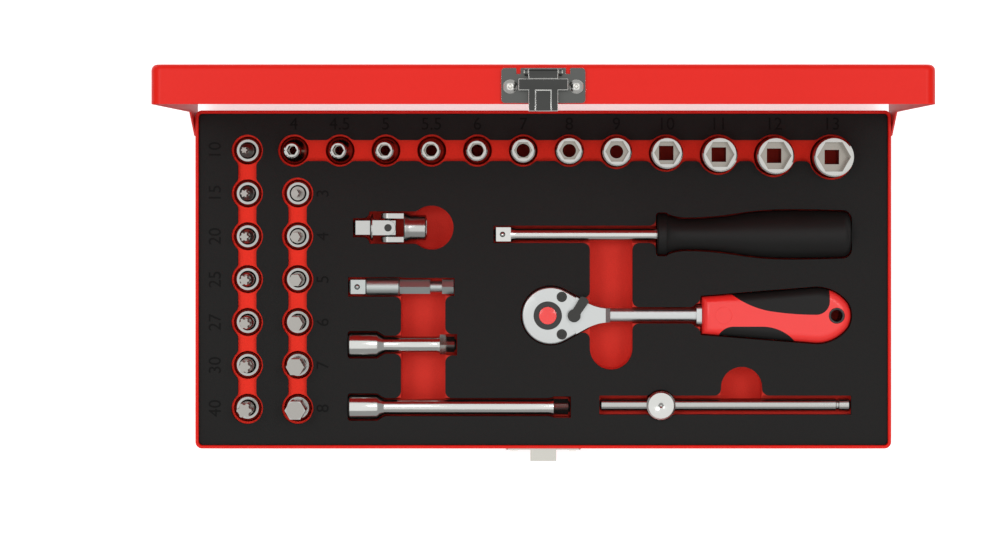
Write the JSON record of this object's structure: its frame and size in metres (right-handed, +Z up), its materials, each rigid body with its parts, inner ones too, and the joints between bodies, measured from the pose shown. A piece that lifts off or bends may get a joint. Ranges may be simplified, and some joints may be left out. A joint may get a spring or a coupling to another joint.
{
  "type": "socket wrench set in case",
  "caption": "Quarter inch socket wrench set in a hinged red steel case: hex sockets, bit sockets, ratchet, spinner, T-handle, extensions and universal joint in two-layer foam.",
  "frame": {"origin": "centre of the case base's underside", "axes": "+X right along the case's long side, +Y back to the lid's hinge, +Z up"},
  "size_m": [0.3168, 0.1726, 0.1729],
  "materials": {
    "red_paint": "satin",
    "red_foam": "matte",
    "black_foam": "matte",
    "chrome_steel": "polished",
    "satin_chrome": "satin",
    "satin_steel": "satin",
    "plated_steel": "gloss",
    "black_grip": "satin",
    "red_plastic": "gloss",
    "black_plastic": "gloss",
    "black_steel": "satin"
  },
  "bodies": {
    "case": {"case_base": "red_paint", "foam_red": "red_foam", "foam_black": "black_foam", "lid_pivot_rivets": "plated_steel", "catch_plate": "plated_steel", "catch_rivets": "plated_steel"},
    "lid": {"case_lid": "red_paint", "latch_plate": "plated_steel", "latch_pin": "plated_steel", "latch_rivets": "plated_steel"},
    "latch_lever": {"latch_lever": "plated_steel"},
    "socket_4": {"socket_4": "chrome_steel"},
    "socket_4_5": {"socket_4_5": "chrome_steel"},
    "socket_5": {"socket_5": "chrome_steel"},
    "socket_5_5": {"socket_5_5": "chrome_steel"},
    "socket_6": {"socket_6": "chrome_steel"},
    "socket_7": {"socket_7": "chrome_steel"},
    "socket_8": {"socket_8": "chrome_steel"},
    "socket_9": {"socket_9": "chrome_steel"},
    "socket_10": {"socket_10": "chrome_steel"},
    "socket_11": {"socket_11": "chrome_steel"},
    "socket_12": {"socket_12": "chrome_steel"},
    "socket_13": {"socket_13": "chrome_steel"},
    "star_bit_socket_10": {"star_bit_socket_10": "satin_steel"},
    "star_bit_socket_15": {"star_bit_socket_15": "satin_steel"},
    "star_bit_socket_20": {"star_bit_socket_20": "satin_steel"},
    "star_bit_socket_25": {"star_bit_socket_25": "satin_steel"},
    "star_bit_socket_27": {"star_bit_socket_27": "satin_steel"},
    "star_bit_socket_30": {"star_bit_socket_30": "satin_steel"},
    "star_bit_socket_40": {"star_bit_socket_40": "satin_steel"},
    "hex_bit_socket_3": {"hex_bit_socket_3": "satin_steel"},
    "hex_bit_socket_4": {"hex_bit_socket_4": "satin_steel"},
    "hex_bit_socket_5": {"hex_bit_socket_5": "satin_steel"},
    "hex_bit_socket_6": {"hex_bit_socket_6": "satin_steel"},
    "hex_bit_socket_7": {"hex_bit_socket_7": "satin_steel"},
    "hex_bit_socket_8": {"hex_bit_socket_8": "satin_steel"},
    "universal_joint": {"joint_drive_fork": "chrome_steel"},
    "universal_cross": {"joint_cross": "chrome_steel", "joint_pins": "chrome_steel"},
    "universal_socket": {"joint_socket_fork": "chrome_steel"},
    "bit_adapter": {"bit_adapter": "satin_steel"},
    "short_extension": {"short_extension": "chrome_steel"},
    "long_extension": {"long_extension": "chrome_steel"},
    "spinner_handle": {"spinner_shaft": "chrome_steel", "spinner_grip": "black_grip"},
    "ratchet": {"ratchet_body": "satin_chrome", "ratchet_cover": "satin_chrome", "ratchet_screws": "black_steel", "ratchet_collar": "satin_chrome", "ratchet_handle": "red_plastic", "ratchet_pads": "black_grip"},
    "ratchet_drive": {"ratchet_drive": "satin_chrome", "ratchet_bezel": "black_plastic"},
    "ratchet_button": {"ratchet_button": "red_plastic"},
    "ratchet_lever": {"ratchet_lever": "black_steel", "ratchet_pawl": "satin_chrome"},
    "sliding_t_handle": {"sliding_bar": "chrome_steel", "sliding_head": "chrome_steel"}
  },
  "joints": [
    {"name": "lid_hinge", "type": "hinge", "parent": "case", "child": "lid", "pos_m": [0, 0.0698, 0.019], "axis": [-1, 0, 0], "range_deg": [-90, 0]},
    {"name": "latch_swing", "type": "hinge", "parent": "lid", "child": "latch_lever", "pos_m": [0, 0.0874, 0.1687], "axis": [-1, 0, 0], "range_deg": [0, 60]},
    {"name": "lift_socket_4", "type": "slide", "parent": "case", "child": "socket_4", "axis": [0, 0, 1], "range_m": [0, 0.045]},
    {"name": "lift_socket_4_5", "type": "slide", "parent": "case", "child": "socket_4_5", "axis": [0, 0, 1], "range_m": [0, 0.045]},
    {"name": "lift_socket_5", "type": "slide", "parent": "case", "child": "socket_5", "axis": [0, 0, 1], "range_m": [0, 0.045]},
    {"name": "lift_socket_5_5", "type": "slide", "parent": "case", "child": "socket_5_5", "axis": [0, 0, 1], "range_m": [0, 0.045]},
    {"name": "lift_socket_6", "type": "slide", "parent": "case", "child": "socket_6", "axis": [0, 0, 1], "range_m": [0, 0.045]},
    {"name": "lift_socket_7", "type": "slide", "parent": "case", "child": "socket_7", "axis": [0, 0, 1], "range_m": [0, 0.045]},
    {"name": "lift_socket_8", "type": "slide", "parent": "case", "child": "socket_8", "axis": [0, 0, 1], "range_m": [0, 0.045]},
    {"name": "lift_socket_9", "type": "slide", "parent": "case", "child": "socket_9", "axis": [0, 0, 1], "range_m": [0, 0.045]},
    {"name": "lift_socket_10", "type": "slide", "parent": "case", "child": "socket_10", "axis": [0, 0, 1], "range_m": [0, 0.045]},
    {"name": "lift_socket_11", "type": "slide", "parent": "case", "child": "socket_11", "axis": [0, 0, 1], "range_m": [0, 0.045]},
    {"name": "lift_socket_12", "type": "slide", "parent": "case", "child": "socket_12", "axis": [0, 0, 1], "range_m": [0, 0.045]},
    {"name": "lift_socket_13", "type": "slide", "parent": "case", "child": "socket_13", "axis": [0, 0, 1], "range_m": [0, 0.045]},
    {"name": "lift_star_bit_socket_10", "type": "slide", "parent": "case", "child": "star_bit_socket_10", "axis": [0, 0, 1], "range_m": [0, 0.045]},
    {"name": "lift_star_bit_socket_15", "type": "slide", "parent": "case", "child": "star_bit_socket_15", "axis": [0, 0, 1], "range_m": [0, 0.045]},
    {"name": "lift_star_bit_socket_20", "type": "slide", "parent": "case", "child": "star_bit_socket_20", "axis": [0, 0, 1], "range_m": [0, 0.045]},
    {"name": "lift_star_bit_socket_25", "type": "slide", "parent": "case", "child": "star_bit_socket_25", "axis": [0, 0, 1], "range_m": [0, 0.045]},
    {"name": "lift_star_bit_socket_27", "type": "slide", "parent": "case", "child": "star_bit_socket_27", "axis": [0, 0, 1], "range_m": [0, 0.045]},
    {"name": "lift_star_bit_socket_30", "type": "slide", "parent": "case", "child": "star_bit_socket_30", "axis": [0, 0, 1], "range_m": [0, 0.045]},
    {"name": "lift_star_bit_socket_40", "type": "slide", "parent": "case", "child": "star_bit_socket_40", "axis": [0, 0, 1], "range_m": [0, 0.045]},
    {"name": "lift_hex_bit_socket_3", "type": "slide", "parent": "case", "child": "hex_bit_socket_3", "axis": [0, 0, 1], "range_m": [0, 0.045]},
    {"name": "lift_hex_bit_socket_4", "type": "slide", "parent": "case", "child": "hex_bit_socket_4", "axis": [0, 0, 1], "range_m": [0, 0.045]},
    {"name": "lift_hex_bit_socket_5", "type": "slide", "parent": "case", "child": "hex_bit_socket_5", "axis": [0, 0, 1], "range_m": [0, 0.045]},
    {"name": "lift_hex_bit_socket_6", "type": "slide", "parent": "case", "child": "hex_bit_socket_6", "axis": [0, 0, 1], "range_m": [0, 0.045]},
    {"name": "lift_hex_bit_socket_7", "type": "slide", "parent": "case", "child": "hex_bit_socket_7", "axis": [0, 0, 1], "range_m": [0, 0.045]},
    {"name": "lift_hex_bit_socket_8", "type": "slide", "parent": "case", "child": "hex_bit_socket_8", "axis": [0, 0, 1], "range_m": [0, 0.045]},
    {"name": "lift_universal_joint", "type": "slide", "parent": "case", "child": "universal_joint", "axis": [0, 0, 1], "range_m": [0, 0.045]},
    {"name": "joint_swing", "type": "hinge", "parent": "universal_joint", "child": "universal_cross", "pos_m": [-0.0696, 0.0232, 0.022], "axis": [0, 0, 1], "range_deg": [-3, 3]},
    {"name": "joint_tilt", "type": "hinge", "parent": "universal_cross", "child": "universal_socket", "pos_m": [-0.0696, 0.0232, 0.022], "axis": [0, -1, 0], "range_deg": [0, 35]},
    {"name": "lift_bit_adapter", "type": "slide", "parent": "case", "child": "bit_adapter", "axis": [0, 0, 1], "range_m": [0, 0.045]},
    {"name": "lift_short_extension", "type": "slide", "parent": "case", "child": "short_extension", "axis": [0, 0, 1], "range_m": [0, 0.045]},
    {"name": "lift_long_extension", "type": "slide", "parent": "case", "child": "long_extension", "axis": [0, 0, 1], "range_m": [0, 0.045]},
    {"name": "lift_spinner_handle", "type": "slide", "parent": "case", "child": "spinner_handle", "axis": [0, 0, 1], "range_m": [0, 0.045]},
    {"name": "lift_ratchet", "type": "slide", "parent": "case", "child": "ratchet", "axis": [0, 0, 1], "range_m": [0, 0.045]},
    {"name": "drive_turn", "type": "hinge", "parent": "ratchet", "child": "ratchet_drive", "pos_m": [0.002, -0.0162, 0.0205], "axis": [0, 0, 1], "continuous": true},
    {"name": "button_press", "type": "slide", "parent": "ratchet_drive", "child": "ratchet_button", "axis": [0, 0, -1], "range_m": [0, 0.0012], "stiffness_N_per_m": 300, "springref_m": -0.001},
    {"name": "lever_swing", "type": "hinge", "parent": "ratchet", "child": "ratchet_lever", "pos_m": [0.0138, -0.0162, 0.0205], "axis": [0, 0, 1], "range_deg": [-114, 0]},
    {"name": "lift_sliding_t_handle", "type": "slide", "parent": "case", "child": "sliding_t_handle", "axis": [0, 0, 1], "range_m": [0, 0.045]}
  ]
}
